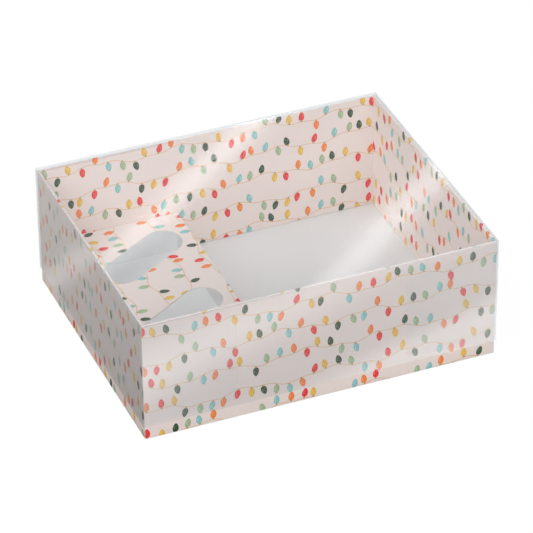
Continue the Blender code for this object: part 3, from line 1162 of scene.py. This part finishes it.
def floor_in_the_film(tree):
    """How bright the floor is where the film mirrors it."""
    coordinates = tree.nodes.new("ShaderNodeTexCoord")
    x, y, _ = split(tree, coordinates.outputs["Object"])
    glow = calculate(tree, "MULTIPLY_ADD", y, MIRRORED_FLOOR_RISE, MIRRORED_FLOOR)
    in_front = calculate(tree, "LESS_THAN", y, FRONT_EDGE)
    least = calculate(tree, "MULTIPLY_ADD", in_front, MIRRORED_IN_FRONT, MIRRORED_FLOOR_LEAST)
    glow = calculate(tree, "MINIMUM", calculate(tree, "MAXIMUM", glow, least), 1.0)
    from_middle = calculate(tree, "ABSOLUTE", minus(tree, x, ENDS_MIDDLE))
    ends = soft_spread(tree, from_middle, ENDS_FROM, ENDS_TO, 0.0, ENDS_GLOW)
    glow = calculate(tree, "MULTIPLY_ADD", in_front, ends, glow)
    glow = plus(tree, glow, soft_spread(tree, y, FURTHER_TO, FURTHER_FROM, FURTHER_GLOW, 0.0))
    for patch in (
        soft_patch(tree, x, y, *FRONT_PATCH),
        soft_patch(tree, x, y, *LEFT_PATCH),
        times(tree, in_front, soft_edge(tree, x, y, *HEM_PATCH)),
    ):
        glow = plus(tree, glow, patch)
    past_back = calculate(tree, "GREATER_THAN", y, BACK_EDGE)
    behind = times(tree, past_back, calculate(tree, "GREATER_THAN", x, -SIDE_EDGE))
    past_front = calculate(tree, "MAXIMUM", minus(tree, FRONT_EDGE, y), 0.0)
    border = calculate(tree, "MULTIPLY_ADD", past_front, BORDER_SLANT, SIDE_EDGE + BORDER_SHIFT)
    beside = soft_spread(tree, minus(tree, x, border), 0.0, BORDER_FADE)
    return spread(tree, calculate(tree, "MAXIMUM", behind, beside), 0.0, 1.0, glow, CALM_GLOW)


def make_floor():
    """A plain white floor that keeps a faint shadow, and glows on its own terms in the film."""
    half = FLOOR_SIZE / 2
    floor = sheet_lying("floor", -half, half, -half, half, -FLOOR_DROP)
    material, tree, shader, _ = new_material("white floor")
    shader.inputs["Base Color"].default_value = FLOOR_GREY
    shader.inputs["Roughness"].default_value = FLOOR_ROUGHNESS
    shader.inputs["Specular IOR Level"].default_value = 0.0
    mirrored = tree.nodes.new("ShaderNodeLightPath").outputs["Is Glossy Ray"]
    glow = tree.nodes.new("ShaderNodeEmission")
    strength = spread(tree, mirrored, 0.0, 1.0, FLOOR_GLOW, floor_in_the_film(tree))
    tree.links.new(strength, glow.inputs["Strength"])
    colour = lay_over(tree, mirrored, (1, 1, 1), MIRRORED_FLOOR_COLOUR)
    tree.links.new(colour, glow.inputs["Color"])
    glow_share = times(tree, seen_or_mirrored(tree), FLOOR_GLOW_SHARE)
    both = mix_shaders(tree, glow_share, shader.outputs[0], glow.outputs[0])
    tree.links.new(both, tree.nodes["Material Output"].inputs["Surface"])
    floor.data.materials.append(material)


def make_world():
    """White to look at, and a plain soft light to be lit by."""
    world = bpy.data.worlds.new("studio")
    world.use_nodes = True
    tree = world.node_tree
    background = tree.nodes["Background"]
    background.inputs["Color"].default_value = (1, 1, 1, 1)
    strength = spread(tree, seen_or_mirrored(tree), 0.0, 1.0, SKY_LIGHT, 1.0)
    tree.links.new(strength, background.inputs["Strength"])
    bpy.context.scene.world = world


def add_area_light(name, width, height, power):
    """A flat rectangular light that the camera doesn't see."""
    data = bpy.data.lights.new(name, "AREA")
    data.shape = "RECTANGLE"
    data.size = width
    data.size_y = height
    data.energy = power
    light = bpy.data.objects.new(name, data)
    bpy.context.scene.collection.objects.link(light)
    light.visible_camera = False
    return light


def add_softbox(name, place, width, height, power):
    """A soft light that faces the box, and that nothing mirrors."""
    light = add_area_light(name, width, height, power)
    light.location = place
    light.rotation_euler = (Vector(LIGHT_AIM) - Vector(place)).to_track_quat("-Z", "Y").to_euler()
    light.visible_glossy = False
    return light


def group_pieces(name, pieces):
    """A collection of pieces for a light to heed."""
    group = bpy.data.collections.new(name)
    for piece in pieces:
        group.objects.link(piece)
    return group


def pass_through(light, pieces):
    """Lets a light shine through some pieces, which then throw no shadow from it."""
    group = group_pieces(f"{light.name} passes", pieces)
    light.light_linking.blocker_collection = group
    for item in group.collection_objects:
        item.light_linking.link_state = "EXCLUDE"


def shine_only_on(light, pieces):
    """Lets a light reach some pieces and no others."""
    light.light_linking.receiver_collection = group_pieces(f"{light.name} lights", pieces)


def mirrored_place(x, y):
    """Where the camera's ray goes on to, past the lid's top."""
    eye = CAMERA_TARGET - camera_axes()[2] * CAMERA_DISTANCE
    on_lid = Vector((x, y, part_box("lid_top")[1].z))
    ray = (on_lid - eye).normalized()
    ray.z = -ray.z
    return on_lid + ray * STRIP_DISTANCE


def add_strip(start, end, width, brightness):
    """A strip light whose mirror image lies along a line on the lid."""
    first = mirrored_place(*start)
    last = mirrored_place(*end)
    along = Vector(end) - Vector(start)
    aside = Vector((-along.y, along.x)).normalized() * width
    beside = mirrored_place(start[0] + aside.x, start[1] + aside.y)
    length = (last - first).length
    run = (last - first).normalized()
    across = (beside - first) - run * (beside - first).dot(run)
    towards = run.cross(across.normalized())
    if towards.z > 0:
        towards.negate()
    power = brightness * math.pi * length * across.length
    light = add_area_light("strip", length, across.length, power)
    turn = Matrix((run, (-towards).cross(run), -towards)).transposed().to_4x4()
    light.matrix_world = Matrix.Translation((first + last) / 2) @ turn
    light.visible_diffuse = False
    light.visible_transmission = False


def named(*endings):
    """The pieces whose names end in one of these ways."""
    return [piece for piece in bpy.data.objects if piece.name.endswith(endings)]


def make_lights():
    """Softboxes for the front, for the inner walls and for the back, and the strips in the film."""
    film = [piece for piece in bpy.data.objects if piece.name.startswith("lid_")]
    for *softbox, boards in SOFTBOXES:
        pass_through(add_softbox(*softbox), film + named(*boards))
    liner_light = add_softbox(*LINER_SOFTBOX)
    shine_only_on(liner_light, named(*INNER_PIECES))
    pass_through(liner_light, film + named("_board"))
    back_light = add_softbox(*BACK_SOFTBOX)
    shine_only_on(back_light, named(*BACK_PIECES))
    pass_through(back_light, film)
    for strip in STRIPS:
        add_strip(*strip)


def dress_tray(materials):
    """The tray's walls and liners."""
    inner_corner = (-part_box("tray_left_liner")[1].x, -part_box("tray_front_liner")[1].y)
    for side in SIDES:
        dress_tray_wall(side, materials)
        dress_liner(side, inner_corner, materials)


def main():
    """Dresses the loaded frame and sets up the studio round it."""
    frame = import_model()
    light_row = make_light_row()
    printed = make_printed_board("printed board", light_row, ROW_PITCH, False)
    printed_deck = make_printed_board("printed insert board", light_row, DECK_ROW_PITCH, True)
    plain = make_plain_board()
    cut = make_cut_board()
    film = make_film(*FILM)
    top_film = make_film(*TOP_FILM)
    film_edge = make_film(*FILM_EDGE)
    glued_film = make_film(*GLUED_FILM)

    dress_tray((printed, plain, cut))
    dress_deck((printed_deck, plain, cut))
    for side in SIDES:
        dress_leg(side, (printed_deck, plain, cut))
    for side in ("left", "right"):
        dress_lid_end(side, (film, film, film_edge))
    dress_lid_top((top_film, top_film, film_edge))

    kept = {"tray_base": plain}
    for long_side in LONG_SIDES:
        kept[f"lid_{long_side}"] = film
        for end in ("left", "right"):
            kept[f"tray_corner_flap_{long_side}_{end}"] = plain
            kept[f"lid_tab_{long_side}_{end}"] = glued_film
    dress_kept_nodes(frame, kept)

    make_floor()
    make_world()
    make_lights()
    make_camera()
    bpy.context.scene.view_settings.view_transform = "Standard"


main()
